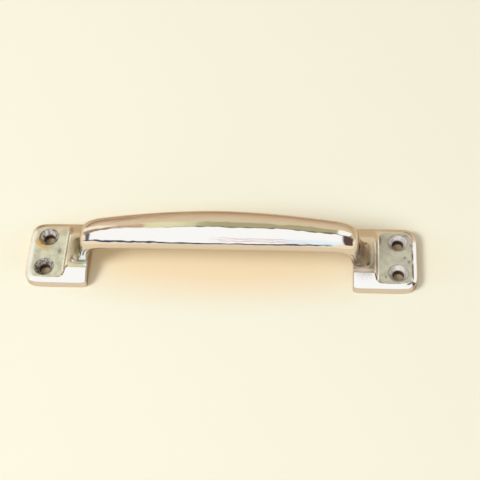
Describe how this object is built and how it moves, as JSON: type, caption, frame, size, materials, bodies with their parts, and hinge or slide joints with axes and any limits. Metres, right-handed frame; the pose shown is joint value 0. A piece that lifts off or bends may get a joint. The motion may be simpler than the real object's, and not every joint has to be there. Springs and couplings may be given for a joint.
{
  "type": "bar handle",
  "caption": "Chromed cast bar handle with an arched, swelling oval grip, flared necks and flat feet with countersunk screw holes, for pulling a door, drawer or lid.",
  "frame": {"origin": "on the mounting face, midway between the feet", "axes": "+X along the grip, +Z away from the mounting face towards the grip"},
  "size_m": [0.1404, 0.0254, 0.0246],
  "materials": {
    "chrome": "polished chrome plate, dull and stained on the screw pads"
  },
  "bodies": {
    "root": {"handle": "chrome"}
  },
  "joints": []
}
